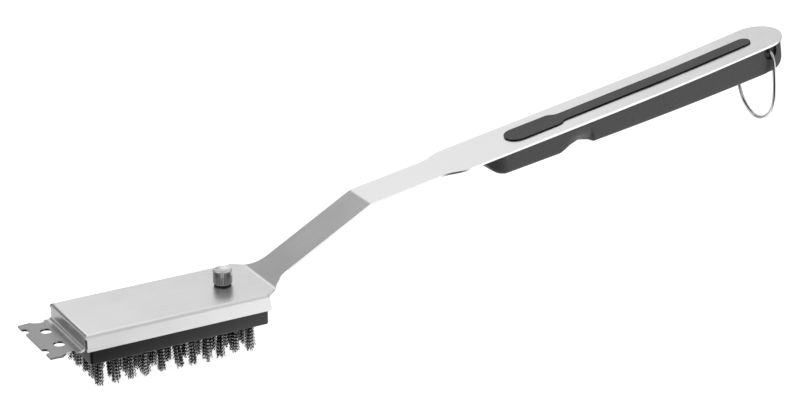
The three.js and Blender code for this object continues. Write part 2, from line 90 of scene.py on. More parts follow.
# Where a tuft's wires run, with reaches as shares of the tuft's radius, and how much they differ.
SPLAY = {
    "root_reach": 0.72, "tip_reach": 1.02, "angle": 0.3, "lean": 0.7, "tip": 0.5,
    "foot": 1.5, "outer_foot": 1.4, "highest_foot": 5.5,
    "tuft_turn": 0.6, "turn": 0.35, "phase": 0.5,
}
ROOT_DEPTH = 3

BLOCK = {"front": -51, "rear": 54.8, "half_width": 23.2, "corner": 1.5, "height": 9.5}
COVER_HEIGHT = 7.2
# A tuft hole's funnel: how much wider than the tuft, and how far up.
HOLE_PROFILE = ((0.9, -1), (0.45, 0.5), (0.2, 1), (0.2, 6))
INSERT_ROOM = {"bore": 4.3, "flange": 5.8, "flange_height": 1.8}

SCREW_X = 38.4
KNOB = {"bottom": 35.2, "radius": 5.4, "height": 8.4, "chamfer": 0.7, "ribs": 36, "rib_depth": 0.36}
THREAD = {"radius": 2.45, "tip": 26.3, "pitch": 0.8, "depth": 0.4, "run_out": 0.8, "chamfer": 0.5}
WASHER = {"inner": 2.7, "outer": 4.8, "edge": 0.2}

SHELL = {"tip": 74, "side": 89, "end": 295.3, "half_width": 15.5, "edge": 1.5, "rim": 0.4}
SHELL_DEPTH = {"at": 90, "depth": 12, "per_mm": 0.0251}
SHELL_FRONT = {"slant": 6, "corner_rise": 3, "corner_end": 12}
SHELL_REAR = {"run": 19, "rise": 13}
NOTCH = {"from": 124, "deep_from": 133, "deep_to": 139, "to": 148, "depth": 3}
SCOOP = {"from": 130, "deep_from": 142, "deep_to": 146, "to": 148.5, "depth": 3.2}

GRIP_SCREW_STATIONS = {"front": 114, "middle": 190, "rear": 258}
SCREW_WELL = {"radius": 3.2, "depth": 3, "hole": 1.8}
# Pan head of a grip screw: radius and height over its seat.
SCREW_HEAD = ((0.4, -1.9), (1.6, -1.85), (2.3, -1.6), (2.7, -1.05), (2.8, -0.6), (2.8, 0), (1.4, 0.02))
SCREW_TIP = ((0.9, 8.8), (0.2, 9))
SCREW_THREAD = {"length": 8.2, "pitch": 0.7, "crest": 1.4, "root": 1.05}
CROSS_RECESS = {"reach": 1.7, "half_width": 0.32, "floor": -0.9}

LOOP_S = 279.8
LOOP_DEPTH = 4.6
LOOP_LEAN = math.radians(6)
LOOP_WIRE = 1.1
LOOP_HOLE = {"inner_y": 7.6, "radius": 1.5}
LOOP_DISH = {"inner_y": 13, "radius": 5}
# Half of the loop's path: distance from the middle, and drop below the pivot.
LOOP_BOW = (
    (8.2, 0), (13.4, 0), (16.9, 2.6), (18.2, 12), (17.6, 28.8), (14.4, 38.5), (8, 44.9), (0, 47.5),
)

ALONG_X = Vector((1, 0, 0))
ACROSS = Vector((0, 1, 0))
HANDLE_ALONG = Vector((math.cos(HANDLE_PITCH), 0, math.sin(HANDLE_PITCH)))
HANDLE_UP = Vector((-math.sin(HANDLE_PITCH), 0, math.cos(HANDLE_PITCH)))
UPPER_BEND = Vector((
    NECK_START + NECK_LENGTH * math.cos(NECK_PITCH), 0, HEAD_TOP + NECK_LENGTH * math.sin(NECK_PITCH),
))


# ---------------------------------------------------------------- mesh helpers


def new_piece(name, points, faces):
    """A smooth mesh object from points in millimetres."""
    mesh = bpy.data.meshes.new(name)
    mesh.from_pydata([Vector(p) * MM for p in points], [], faces)
    mesh.validate()
    mesh.polygons.foreach_set("use_smooth", [True] * len(mesh.polygons))
    piece = bpy.data.objects.new(name, mesh)
    bpy.context.scene.collection.objects.link(piece)
    return piece


def skin(rings, size, start=0):
    """Faces between neighbouring rings of points, numbered one ring after another."""
    faces = []
    for i in range(rings - 1):
        a, b = start + i * size, start + (i + 1) * size
        for j in range(size):
            k = (j + 1) % size
            faces.append((a + j, a + k, b + k, b + j))
    return faces


def lofted(name, *solids):
    """One mesh of solids, each given as cross-sections that all have the same number of points."""
    points, faces = [], []
    for sections in solids:
        start, size = len(points), len(sections[0])
        points += [p for section in sections for p in section]
        faces += skin(len(sections), size, start)
        faces.append(tuple(range(start + size - 1, start - 1, -1)))
        faces.append(tuple(range(len(points) - size, len(points))))
    return new_piece(name, points, faces)


def clean(piece):
    """Joins points that meet and makes the faces look outwards."""
    form = bmesh.new()
    form.from_mesh(piece.data)
    bmesh.ops.remove_doubles(form, verts=form.verts, dist=MERGE_DISTANCE)
    bmesh.ops.dissolve_degenerate(form, edges=form.edges, dist=MERGE_DISTANCE)
    bmesh.ops.recalc_face_normals(form, faces=form.faces)
    form.to_mesh(piece.data)
    form.free()
    piece.data.update()
    return piece


def auto_smooth(piece, angle=32):
    """Keeps edges over the angle sharp and smooths the others."""
    mesh = piece.data
    mesh.polygons.foreach_set("use_smooth", [True] * len(mesh.polygons))
    mesh.set_sharp_from_angle(angle=math.radians(angle))
    return piece


def bevelled(piece, width, segments):
    """Rounds the sharp edges and keeps the large faces flat."""
    bevel = piece.modifiers.new("edges", "BEVEL")
    bevel.width = width * MM
    bevel.segments = segments
    bevel.limit_method = "ANGLE"
    bevel.angle_limit = math.radians(35)
    normals = piece.modifiers.new("normals", "WEIGHTED_NORMAL")
    normals.weight = 90
    return piece


def refined(node, name, width, segments=2):
    """A copy of a CAD node with its flat faces rejoined and its edges rounded."""
    form = bmesh.new()
    form.from_mesh(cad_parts[node].data)
    bmesh.ops.remove_doubles(form, verts=form.verts, dist=MERGE_DISTANCE)
    bmesh.ops.dissolve_limit(form, angle_limit=math.radians(1), verts=form.verts, edges=form.edges)
    mesh = bpy.data.meshes.new(name)
    form.to_mesh(mesh)
    form.free()
    mesh.polygons.foreach_set("use_smooth", [True] * len(mesh.polygons))
    piece = bpy.data.objects.new(name, mesh)
    bpy.context.scene.collection.objects.link(piece)
    return bevelled(piece, width, segments)


def cut(piece, cutters):
    """Takes each cutter out of the piece and deletes it."""
    for cutter in cutters:
        clean(cutter)
        difference = piece.modifiers.new("cut", "BOOLEAN")
        difference.operation = "DIFFERENCE"
        difference.solver = "EXACT"
        difference.object = cutter
    bpy.context.view_layer.update()
    evaluated = piece.evaluated_get(bpy.context.evaluated_depsgraph_get())
    mesh = bpy.data.meshes.new_from_object(evaluated)
    piece.modifiers.clear()
    piece.data = mesh
    for cutter in cutters:
        bpy.data.objects.remove(cutter)
    return piece


def install(piece, body, slot, material, *nodes):
    """Gives a piece its body and its material, and hides the CAD nodes it stands for."""
    piece.data.materials.clear()
    piece.data.materials.append(material)
    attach(piece, body)
    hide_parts(*nodes)


def ring(centre, right, up, radius, sides):
    """A circle of points around a centre."""
    circle = []
    for i in range(sides):
        angle = 2 * math.pi * i / sides
        circle.append(centre + right * (radius * math.cos(angle)) + up * (radius * math.sin(angle)))
    return circle


def cylinder(x, y, low, high, radius, sides=32):
    """A standing round bar, used as a cutter."""
    ends = [Vector((x, y, height)) for height in (low, high)]
    return lofted("cutter", [ring(end, ALONG_X, ACROSS, radius, sides) for end in ends])


def smooth(value, start, end):
    """Rises from 0 to 1 between start and end, gently at both."""
    t = min(1.0, max(0.0, (value - start) / (end - start)))
    return t * t * (3 - 2 * t)


# ---------------------------------------------------------------- materials


class Nodes:
    """Adds nodes to a tree and joins them."""

    def __init__(self, tree):
        self.tree = tree

    def node(self, kind, settings=None, **inputs):
        made = self.tree.nodes.new(kind)
        for key, value in (settings or {}).items():
            setattr(made, key, value)
        for key, value in inputs.items():
            self.feed(made.inputs[key.replace("_", " ")], value)
        return made

    def feed(self, socket, value):
        if isinstance(value, bpy.types.NodeSocket):
            self.tree.links.new(value, socket)
        else:
            socket.default_value = value

    def math(self, operation, a, b=0.0):
        made = self.node("ShaderNodeMath", {"operation": operation})
        self.feed(made.inputs[0], a)
        self.feed(made.inputs[1], b)
        return made.outputs[0]

    def product(self, *values):
        total = values[0]
        for value in values[1:]:
            total = self.math("MULTIPLY", total, value)
        return total

    def between(self, value, low, high, from_low=0.3, from_high=0.7, step="LINEAR"):
        """Maps a value's useful range to two values."""
        made = self.node(
            "ShaderNodeMapRange", {"interpolation_type": step},
            Value=value, From_Min=from_low, From_Max=from_high, To_Min=low, To_Max=high,
        )
        return made.outputs["Result"]

    def rise(self, value, start, end):
        """Goes gently from 0 to 1 as the value goes from start to end."""
        return self.between(value, 0.0, 1.0, start, end, "SMOOTHSTEP")

    def axes(self, vector):
        return self.node("ShaderNodeSeparateXYZ", Vector=vector).outputs


class Finish(Nodes):
    """Builds one node material around a Principled shader."""

    def __init__(self, name):
        self.material = bpy.data.materials.new(name)
        self.material.use_nodes = True
        super().__init__(self.material.node_tree)
        self.shader = self.tree.nodes["Principled BSDF"]

    def place(self):
        return self.node("ShaderNodeTexCoord").outputs["Object"]

    def facing(self):
        """The directions the surface looks in."""
        return self.axes(self.node("ShaderNodeNewGeometry").outputs["Normal"])

    def stretched(self, x, y, z):
        """Object coordinates scaled along each axis."""
        scaled = self.node("ShaderNodeMapping", {"vector_type": "TEXTURE"}, Vector=self.place())
        scaled.inputs["Scale"].default_value = (1 / x, 1 / y, 1 / z)
        return scaled.outputs["Vector"]

    def noise(self, scale, detail=3.0, vector=None, roughness=0.55):
        made = self.node(
            "ShaderNodeTexNoise",
            Scale=scale, Detail=detail, Roughness=roughness, Vector=vector or self.place(),
        )
        return made.outputs["Fac"]

    def grey(self, value):
        return self.node("ShaderNodeCombineColor", Red=value, Green=value, Blue=value).outputs["Color"]

    def bump(self, height, depth, strength=1.0):
        """A surface relief of the given depth in millimetres."""
        made = self.node("ShaderNodeBump", Height=height, Distance=depth * MM, Strength=strength)
        self.feed(self.shader.inputs["Normal"], made.outputs["Normal"])

    def set(self, **inputs):
        for key, value in inputs.items():
            self.feed(self.shader.inputs[key.replace("_", " ")], value)


def brush_lines(finish, fineness):
    """Fine streaks along the sheet: they change across the width of each face."""
    place = finish.axes(finish.place())
    on_side = finish.math("GREATER_THAN", finish.math("ABSOLUTE", finish.facing()["Y"]), 0.7)
    across = finish.node(
        "ShaderNodeMix", {"data_type": "FLOAT"}, Factor=on_side, A=place["Y"], B=place["Z"]
    ).outputs["Result"]
    along = finish.math("ADD", place["X"], place["Z"])
    lines = finish.node(
        "ShaderNodeCombineXYZ",
        X=finish.math("MULTIPLY", along, 18.0),
        Y=finish.math("MULTIPLY", across, fineness),
    )
    return finish.noise(1.0, 4.0, lines.outputs["Vector"], 0.6)


def brushed_steel():
    """Brushed stainless sheet, with painted shade on the scraper standing in for its darker reflection.
    """
    finish = Finish("brushed_steel")
    lines = brush_lines(finish, 2600.0)
    smudge = finish.noise(35.0, 2.0)
    tone = finish.math("ADD", finish.between(lines, 0.66, 0.76), finish.between(smudge, -0.025, 0.02))
    # painted shade: the scraper's base colour is darkened in place of its darker reflection
    ahead, behind = SCRAPER_SHADE
    scraper = finish.between(finish.axes(finish.place())["X"], 0.44, 1.0, ahead * MM, behind * MM)
    rough = finish.math("ADD", finish.between(lines, 0.28, 0.36), finish.between(smudge, -0.02, 0.03))
    finish.set(Base_Color=finish.grey(finish.product(tone, scraper)), Metallic=1.0, Roughness=rough)
    finish.bump(lines, 0.003)
    return finish.material


def knob_groove_shade(finish):
    """Painted shade: dark in the grooves between the knob's ribs, and 1 on its top."""
    place = finish.axes(finish.place())
    offset = finish.math("SUBTRACT", place["X"], SCREW_X * MM)
    squares = finish.math("ADD", finish.product(offset, offset), finish.product(place["Y"], place["Y"]))
    reach = finish.math("SQRT", squares)
    floor_radius = KNOB["radius"] - KNOB["rib_depth"]
    groove = finish.between(reach, 0.25, 1.0, floor_radius * MM, KNOB["radius"] * MM)
    level = finish.between(finish.math("ABSOLUTE", finish.facing()["Z"]), 0.0, 1.0, 0.2, 0.5)
    return finish.math("MAXIMUM", groove, level)


def knob_steel():
    """Turned steel with a painted lighter top and painted shade in the grooves between the ribs."""
    finish = Finish("knob_steel")
    grain = finish.noise(1.0, 3.0, finish.stretched(900, 900, 120))
    # painted highlight: faces looking up get a lighter base colour
    top_painted_light = finish.between(finish.facing()["Z"], 0.0, 0.14, 0.2, 0.8)
    tone = finish.math("ADD", finish.between(grain, 0.46, 0.6), top_painted_light)
    finish.set(
        Base_Color=finish.grey(finish.product(tone, knob_groove_shade(finish))),
        Metallic=1.0,
        Roughness=finish.between(grain, 0.28, 0.36),
    )
    finish.bump(grain, 0.006)
    return finish.material


def bright_wire():
    """Drawn steel wire of the hanging loop."""
    finish = Finish("bright_wire")
    draw = finish.noise(1.0, 3.0, finish.stretched(400, 400, 90))
    finish.set(
        Base_Color=finish.grey(finish.between(draw, 0.5, 0.6)),
        Metallic=1.0,
        Roughness=finish.between(draw, 0.1, 0.18),
    )
    finish.bump(draw, 0.004)
    return finish.material


def bristle_wire():
    """Steel wire: each strand has its own tone, with painted glints on its crimps and painted shade
    darkening it towards its root.
    """
    finish = Finish("bristle_wire")
    patch = finish.noise(450.0, 2.0)
    strand = finish.node("ShaderNodeNewGeometry").outputs["Random Per Island"]
    height = finish.axes(finish.place())["Z"]
    turns = finish.product(height, 2 * math.pi / (CRIMP["length"] * MM))
    crimp_glint = finish.math("SINE", finish.math("ADD", turns, finish.product(strand, 2.2)))
    # painted glints on the crimps, and painted shade darkening the wires towards their root
    tone = finish.product(
        finish.between(strand, 0.12, 1.0, 0.15, 0.85),
        finish.between(crimp_glint, 0.06, 1.3, -0.4, 0.5),
        finish.between(patch, 0.75, 1.0),
        finish.between(height, 1.0, 0.3, 4 * MM, BRISTLE_LENGTH * MM),
    )
    finish.set(Base_Color=finish.grey(tone), Metallic=1.0, Roughness=finish.between(patch, 0.32, 0.2))
    finish.bump(finish.noise(3000.0, 1.0), 0.01)
    return finish.material


def moulded_plastic(name, tone, grain_size, grain_depth, rough, sheen=0.5, side_shade_share=1.0):
    """Plastic with a moulded grain, sized in millimetres, and handling marks.

    Its sides can be darkened as painted shade.
    """
    finish = Finish(name)
    grain = finish.node(
        "ShaderNodeTexVoronoi", {"feature": "SMOOTH_F1"}, Scale=1000 / grain_size, Vector=finish.place()
    ).outputs["Distance"]
    marks = finish.noise(60.0, 4.0)
    speckle = finish.noise(1200.0, 1.0)
    grey = finish.product(
        finish.between(marks, *tone),
        finish.between(speckle, 0.85, 1.15),
        # painted shade: faces that don't look up are darkened by the share given for the sides
        finish.between(finish.facing()["Z"], side_shade_share, 1.0, 0.5, 0.85),
    )
    finish.set(
        Base_Color=finish.grey(grey),
        Roughness=finish.between(marks, rough - 0.05, rough + 0.06),
        Specular_IOR_Level=sheen,
    )
    finish.bump(grain, grain_depth, 0.6)
    return finish.material


def brass():
    """Turned brass with fine rings."""
    finish = Finish("brass")
    rings = finish.noise(1.0, 2.0, finish.stretched(60, 60, 4000))
    finish.set(Base_Color=(0.62, 0.45, 0.2, 1), Metallic=1.0, Roughness=finish.between(rings, 0.25, 0.4))
    finish.bump(rings, 0.01)
    return finish.material


def zinc():
    """Zinc plating of the grip screws."""
    finish = Finish("zinc")
    spangle = finish.node("ShaderNodeTexVoronoi", Scale=900.0, Vector=finish.place()).outputs["Distance"]
    finish.set(
        Base_Color=finish.grey(finish.between(spangle, 0.42, 0.56, 0.0, 0.8)),
        Metallic=1.0,
        Roughness=finish.between(spangle, 0.3, 0.42, 0.0, 0.8),
    )
    finish.bump(spangle, 0.01)
    return finish.material


def floor_paper():
    """White paper that glows a little, so that the brush casts almost no shadow on it."""
    finish = Finish("floor_paper")
    tooth = finish.noise(900.0, 2.0)
    finish.set(
        Base_Color=finish.grey(finish.between(tooth, 0.3, 0.34)),
        Roughness=0.9,
        Emission_Color=(1, 1, 1, 1),
        Emission_Strength=0.93,
    )
    return finish.material


# ---------------------------------------------------------------- the wire brush


def row_x(row):
    return (row - (TUFT_ROWS - 1) / 2) * TUFT_PITCH_X


def tuft_y(tuft):
    return (tuft - (TUFTS_PER_ROW - 1) / 2) * TUFT_PITCH_Y


def crimped_wire(root, tip, swing, phase):
    """Sections of one wire that zigzags in the swing direction from root to tip."""
    axis = tip - root
    forward = axis.normalized()
    side = (swing - forward * swing.dot(forward)).normalized()
    other = forward.cross(side)
    count = max(4, int(axis.length / CRIMP["length"] * CRIMP["points"]))
    sections = []
    for i in range(count + 1):
        along = axis.length * i / count
        wave = math.sin(2 * math.pi * along / CRIMP["length"] + phase)
        centre = root + forward * along + side * (CRIMP["height"] * wave)
        sections.append(ring(centre, side, other, WIRE_RADIUS, 4))
    return sections


def tuft_wires(x, y, chance):
    """Every wire of one tuft: they leave one hole, nest with each other and splay at the tips."""

    def scatter(key):
        return chance.gauss(0, SPLAY[key])

    lean = Vector((scatter("lean"), scatter("lean"), 0))
    turn = chance.uniform(-SPLAY["tuft_turn"], SPLAY["tuft_turn"])
    phase = chance.uniform(0, 2 * math.pi)
    wires = []
    for i in range(WIRES_PER_TUFT):
        spread = math.sqrt((i + 0.5) / WIRES_PER_TUFT)
        angle = i * GOLDEN_ANGLE + chance.uniform(-SPLAY["angle"], SPLAY["angle"])
        out = Vector((math.cos(angle), math.sin(angle), 0)) * (spread * TUFT_RADIUS)
        root = Vector((x, y, BRISTLE_LENGTH + ROOT_DEPTH)) + out * SPLAY["root_reach"]
        foot = abs(scatter("foot")) + SPLAY["outer_foot"] * spread**2
        tip = Vector((x, y, min(foot, SPLAY["highest_foot"]))) + out * SPLAY["tip_reach"] + lean
        tip += Vector((scatter("tip"), scatter("tip"), 0))
        swing = Vector((math.cos(turn + scatter("turn")), math.sin(turn + scatter("turn")), 0))
        wires.append(crimped_wire(root, tip, swing, phase + scatter("phase")))
    return wires


def bristle_row(row, chance):
    """All the wires of one row of tufts."""
    wires = []
    for tuft in range(TUFTS_PER_ROW):
        wires += tuft_wires(row_x(row), tuft_y(tuft), chance)
    return lofted(f"bristles_{row + 1:02d}", *wires)


def block_outline(inset, height, corner_steps=6):
    """The block's outline at a height, anticlockwise from above."""
    front, rear = BLOCK["front"] + inset, BLOCK["rear"] - inset
    half = BLOCK["half_width"] - inset
    radius = max(0.4, BLOCK["corner"] - inset)
    centres = (
        (rear - radius, half - radius, 0),
        (front + radius, half - radius, 90),
        (front + radius, -half + radius, 180),
        (rear - radius, -half + radius, 270),
    )
    outline = []
    for x, y, start in centres:
        for i in range(corner_steps + 1):
            angle = math.radians(start + 90 * i / corner_steps)
            outline.append((x + radius * math.cos(angle), y + radius * math.sin(angle), height))
    return outline


def slab(name, low, high, edge, steps=4):
    """A block with the block's outline and rounded top and bottom edges."""
    turns = [math.pi / 2 * i / steps for i in range(steps + 1)]
    sections = []
    for turn in turns:
        sections.append(block_outline(edge * (1 - math.sin(turn)), low + edge * (1 - math.cos(turn))))
    for turn in turns:
        sections.append(block_outline(edge * (1 - math.cos(turn)), high - edge * (1 - math.sin(turn))))
    return lofted(name, sections)


def tuft_hole(x, y):
    """Sections of the funnel-shaped hole of one tuft."""
    sections = []
    for wider, height in HOLE_PROFILE:
        centre = Vector((x, y, BRISTLE_LENGTH + height))
        sections.append(ring(centre, ALONG_X, ACROSS, TUFT_RADIUS + wider, 16))
    return sections


def brush_block():
    """The block that holds the tufts, with a hole for each of them."""
    block = slab("brush_block_body", BRISTLE_LENGTH, BRISTLE_LENGTH + BLOCK["height"], 0.9)
    holes = []
    for row in range(TUFT_ROWS):
        for tuft in range(TUFTS_PER_ROW):
            holes.append(tuft_hole(row_x(row), tuft_y(tuft)))
    return auto_smooth(cut(clean(block), [lofted("holes", *holes)]))


def block_cover():
    """The cover on top of the block, bored for the threaded insert."""
    low = BRISTLE_LENGTH + BLOCK["height"] + REST_GAP
    high = low + COVER_HEIGHT
    cover = slab("block_cover_body", low, high, 0.6)
    bore = cylinder(SCREW_X, 0, low - 1, high + 1, INSERT_ROOM["bore"])
    flange = cylinder(SCREW_X, 0, low - 1, low + INSERT_ROOM["flange_height"], INSERT_ROOM["flange"])
    return auto_smooth(cut(clean(cover), [bore, flange]))


# ---------------------------------------------------------------- the thumb screw


def knob_outline():
    """The knob from the middle of its bottom to the middle of its top: radius, height, rib share."""
    bottom, radius, chamfer = KNOB["bottom"], KNOB["radius"], KNOB["chamfer"]
    top = bottom + KNOB["height"]
    return (
        (0.0, bottom, 0), (radius - chamfer, bottom, 0), (radius - 0.3, bottom + 0.35, 0.3),
        (radius, bottom + chamfer, 1), (radius, (bottom + top) / 2, 1), (radius, top - chamfer, 1),
        (radius - 0.3, top - 0.35, 0.3), (radius - chamfer, top, 0), (radius - chamfer - 0.3, top, 0),
        (radius - chamfer - 0.8, top - 0.25, 0), (0.0, top - 0.3, 0),
    )


def knurled_knob():
    """Ribbed knob with chamfered ends and a dished top."""
    outline = knob_outline()
    sides = KNOB["ribs"] * 4
    points = []
    for radius, height, ribbed in outline:
        for i in range(sides):
            groove = 0.5 - 0.5 * math.cos(2 * math.pi * i / 4)
            angle = 2 * math.pi * i / sides
            reach = max(0.0, radius - ribbed * KNOB["rib_depth"] * groove)
            points.append((SCREW_X + reach * math.cos(angle), reach * math.sin(angle), height))
    return auto_smooth(clean(new_piece("thumb_knob", points, skin(len(outline), sides))), 40)


def threaded_shank(sides=32, steps_per_turn=8):
    """Shank with a real helical thread, running out to a plain chamfered tip."""
    tip, pitch = THREAD["tip"], THREAD["pitch"]
    length = KNOB["bottom"] + 0.3 - tip
    rows = int(length / pitch * steps_per_turn)
    sections = []
    for i in range(rows + 1):
        height = tip + length * i / rows
        fade = min(1.0, (height - tip) / THREAD["run_out"])
        section = []
        for j in range(sides):
            angle = 2 * math.pi * j / sides
            turn = (height / pitch - j / sides) % 1.0
            groove = THREAD["depth"] * abs(2 * turn - 1) * fade
            radius = THREAD["radius"] - THREAD["chamfer"] * (1 - fade) - groove
            section.append((SCREW_X + radius * math.cos(angle), radius * math.sin(angle), height))
        sections.append(section)
    return auto_smooth(clean(lofted("thumb_thread", sections)), 60)


def rubber_washer(sides=48):
    """Flat ring with rounded edges, between the knob and the head plate."""
    low, high = (corner.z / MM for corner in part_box("screw_washer"))
    inner, outer, edge = WASHER["inner"], WASHER["outer"], WASHER["edge"]
    profile = (
        (inner, low + edge), (inner + edge, low), (outer - edge, low), (outer, low + edge),
        (outer, high - edge), (outer - edge, high), (inner + edge, high), (inner, high - edge),
    )
    points = []
    for i in range(sides + 1):
        angle = 2 * math.pi * i / sides
        for radius, height in profile:
            points.append((SCREW_X + radius * math.cos(angle), radius * math.sin(angle), height))
    return clean(new_piece("washer_ring", points, skin(sides + 1, len(profile))))


# ---------------------------------------------------------------- the grip, in the handle's frame


def handle_rise(s):
    """How far the curved handle's top face stands above the straight line from the upper bend."""
    return max(0, s - HANDLE_STRAIGHT) ** 2 / (2 * HANDLE_CURVE_RADIUS)


def on_handle(s, y, height):
    """A point given along the handle from the upper bend, across it, and above its straight top face."""
    return UPPER_BEND + HANDLE_ALONG * s + ACROSS * y + HANDLE_UP * height


def bar_up(s, low, high, radius):
    """A round bar that stands on the handle, used as a cutter."""
    ends = [on_handle(s, 0, height) for height in (low, high)]
    return lofted("cutter", [ring(end, HANDLE_ALONG, ACROSS, radius, 32) for end in ends])


def notch_height(s):
    """How far the finger notch cuts into the underside: curved at its front, straight at its rear."""
    if s < NOTCH["deep_to"]:
        return NOTCH["depth"] * smooth(s, NOTCH["from"], NOTCH["deep_from"])
    left = (NOTCH["to"] - s) / (NOTCH["to"] - NOTCH["deep_to"])
    return NOTCH["depth"] * max(0.0, left)


def finger_scoop(s):
    """How far the side is hollowed above the finger notch: gently in, and quickly out behind it."""
    rise = smooth(s, SCOOP["from"], SCOOP["deep_from"])
    return SCOOP["depth"] * rise * (1 - smooth(s, SCOOP["deep_to"], SCOOP["to"]))


def shell_top(s):
    return handle_rise(s) - SHEET - REST_GAP


def shell_bottom(s):
    """Underside of the grip without its ends."""
    depth = SHELL_DEPTH["depth"] + (s - SHELL_DEPTH["at"]) * SHELL_DEPTH["per_mm"]
    return handle_rise(s) - SHEET - depth + notch_height(s)


def shell_low(s):
    """Underside of the grip with its slanted front and rounded rear."""
    tip, end = SHELL["tip"], SHELL["end"]
    slant, corner_rise = SHELL_FRONT["slant"], SHELL_FRONT["corner_rise"]
    front, run = s - tip, end - s
    if front < slant:
        drop = shell_bottom(tip) + corner_rise - shell_top(tip)
        return shell_top(s) + drop * front / slant
    if front < SHELL_FRONT["corner_end"]:
        t = (front - slant) / (SHELL_FRONT["corner_end"] - slant)
        return shell_bottom(tip) + corner_rise * (1 - t) ** 2
    if run < SHELL_REAR["run"]:
        # quarter of a quadratic curve: along t*t, up (1 - t)^2
        t = math.sqrt(max(0.0, run / SHELL_REAR["run"]))
        return shell_bottom(end) + SHELL_REAR["rise"] * (1 - t) ** 2
    return shell_bottom(s)


def shell_half_width(s):
    """Half of the grip's width: an ellipse at its front, a half circle at its rear."""
    half = SHELL["half_width"]
    front = (SHELL["side"] - s) / (SHELL["side"] - SHELL["tip"])
    rear = (s - (SHELL["end"] - half)) / half
    t = max(0.0, front, rear)
    return half * math.sqrt(max(0.0, 1 - t * t))


def shell_stations():
    """Places along the grip: close together at both ends and through the finger notch."""
    tip, side, end = SHELL["tip"], SHELL["side"], SHELL["end"]
    slant, corner_end = SHELL_FRONT["slant"], SHELL_FRONT["corner_end"]
    tail = 20
    stations = [side - (side - tip) * math.cos(math.pi / 2 * i / 14) for i in range(14)]
    stations += [tip + slant, tip + (slant + corner_end) / 2, tip + corner_end]
    stations += [side + (end - tail - side) * i / 90 for i in range(91)]
    stations += [NOTCH[key] for key in ("from", "deep_from", "deep_to", "to")]
    stations += [SCOOP["deep_to"] + (SCOOP["to"] - SCOOP["deep_to"]) * i / 4 for i in range(5)]
    stations += [end - tail + tail * math.sin(math.pi / 2 * i / 20) for i in range(1, 21)]
    stations = sorted(set(round(s, 3) for s in stations))
    # the end sections keep some width, so that the solid closes properly
    stations[0] += 0.15
    stations[-1] -= 0.02
    return stations


def shell_section(s):
    """Cross-section with rounded lower edges, hollowed sides and a small chamfer under the steel."""
    half = max(0.05, shell_half_width(s))
    top = shell_top(s)
    low = min(shell_low(s), top - 0.05)
    edge = min(SHELL["edge"], 0.7 * half, 0.6 * (top - low))
    rim = min(SHELL["rim"], 0.2 * half, 0.2 * (top - low))
    scoop = finger_scoop(s)

    def side_at(height):
        return half - scoop * smooth((top - height) / (top - low), 0.4, 1.0)

    half_points = [(half - rim, top), (half, top - rim)]
    for part in (0.5, 0.67, 0.84):
        height = top - rim + (low + edge - top + rim) * part
        half_points.append((side_at(height), height))
    for i in range(7):
        angle = math.pi / 2 * i / 6
        height = low + edge * (1 - math.sin(angle))
        half_points.append((side_at(height) - edge * (1 - math.cos(angle)), height))
    half_points.append((0.45 * (half - edge), low))
    mirrored = [(-y, height) for y, height in reversed(half_points)]
    return [on_handle(s, y, height) for y, height in half_points + mirrored]


def loop_socket(side):
    """Cutters for one pivot hole and the round dish around its mouth."""
    height = handle_rise(LOOP_S) - LOOP_DEPTH
    cutters = []
    for opening in (LOOP_HOLE, LOOP_DISH):
        ends = [on_handle(LOOP_S, side * y, height) for y in (opening["inner_y"], 30)]
        sections = [ring(end, HANDLE_ALONG, HANDLE_UP, opening["radius"], 48) for end in ends]
        cutters.append(lofted("cutter", sections))
    return cutters


def screw_well(s):
    """Cutters for the head's recess and the clearance hole of one grip screw."""
    low = shell_bottom(s)
    recess = bar_up(s, low - 5, low + SCREW_WELL["depth"], SCREW_WELL["radius"])
    hole = bar_up(s, low - 5, handle_rise(s) - SHEET - 1, SCREW_WELL["hole"])
    return [recess, hole]


def grip_shell():
    """The lower half of the grip."""
    shell = clean(lofted("grip_shell_body", [shell_section(s) for s in shell_stations()]))
    cutters = loop_socket(1) + loop_socket(-1)
    for s in GRIP_SCREW_STATIONS.values():
        cutters += screw_well(s)
    return auto_smooth(cut(shell, cutters))


def cross_recess(s, seat):
    """Cutters for the two slots in a grip screw's head."""
    reach, half_width = CROSS_RECESS["reach"], CROSS_RECESS["half_width"]
    slots = []
    for a, b in ((reach, half_width), (half_width, reach)):
        corners = ((-a, -b), (a, -b), (a, b), (-a, b))
        heights = (seat - 3, seat + CROSS_RECESS["floor"])
        slots.append(lofted("cutter", [[on_handle(s + u, v, h) for u, v in corners] for h in heights]))
    return slots


def grip_screw(place, s):
    """Pan head screw with a cross recess, head down."""
    seat = shell_bottom(s) + SCREW_WELL["depth"] - REST_GAP
    profile = list(SCREW_HEAD)
    height = 0.0
    while height < SCREW_THREAD["length"]:
        profile += [(SCREW_THREAD["crest"], height + 0.15), (SCREW_THREAD["root"], height + 0.5)]
        height += SCREW_THREAD["pitch"]
    profile += SCREW_TIP
    sections = [ring(on_handle(s, 0, seat + h), HANDLE_ALONG, ACROSS, r, 28) for r, h in profile]
    screw = clean(lofted(f"grip_screw_{place}_body", sections))
    return auto_smooth(cut(screw, cross_recess(s, seat)), 50)


# ---------------------------------------------------------------- the hanging loop


def loop_path(steps):
    """Points along the loop from one end to the other, as a smooth curve through the bow's points."""
    half = [Vector((0, y, -drop)) for y, drop in LOOP_BOW]
    knots = [Vector((0, -p.y, p.z)) for p in half] + list(reversed(half[:-1]))
    path = []
    for i in range(len(knots) - 1):
        before = knots[max(i - 1, 0)]
        after = knots[min(i + 2, len(knots) - 1)]
        start, end = knots[i], knots[i + 1]
        gap = (end - start).length
        lead = (end - before).normalized() * gap
        trail = (after - start).normalized() * gap
        for k in range(steps):
            t = k / steps
            path.append(
                start * (2 * t**3 - 3 * t**2 + 1) + lead * (t**3 - 2 * t**2 + t)
                + end * (3 * t**2 - 2 * t**3) + trail * (t**3 - t**2)
            )
    return path + [knots[-1]]


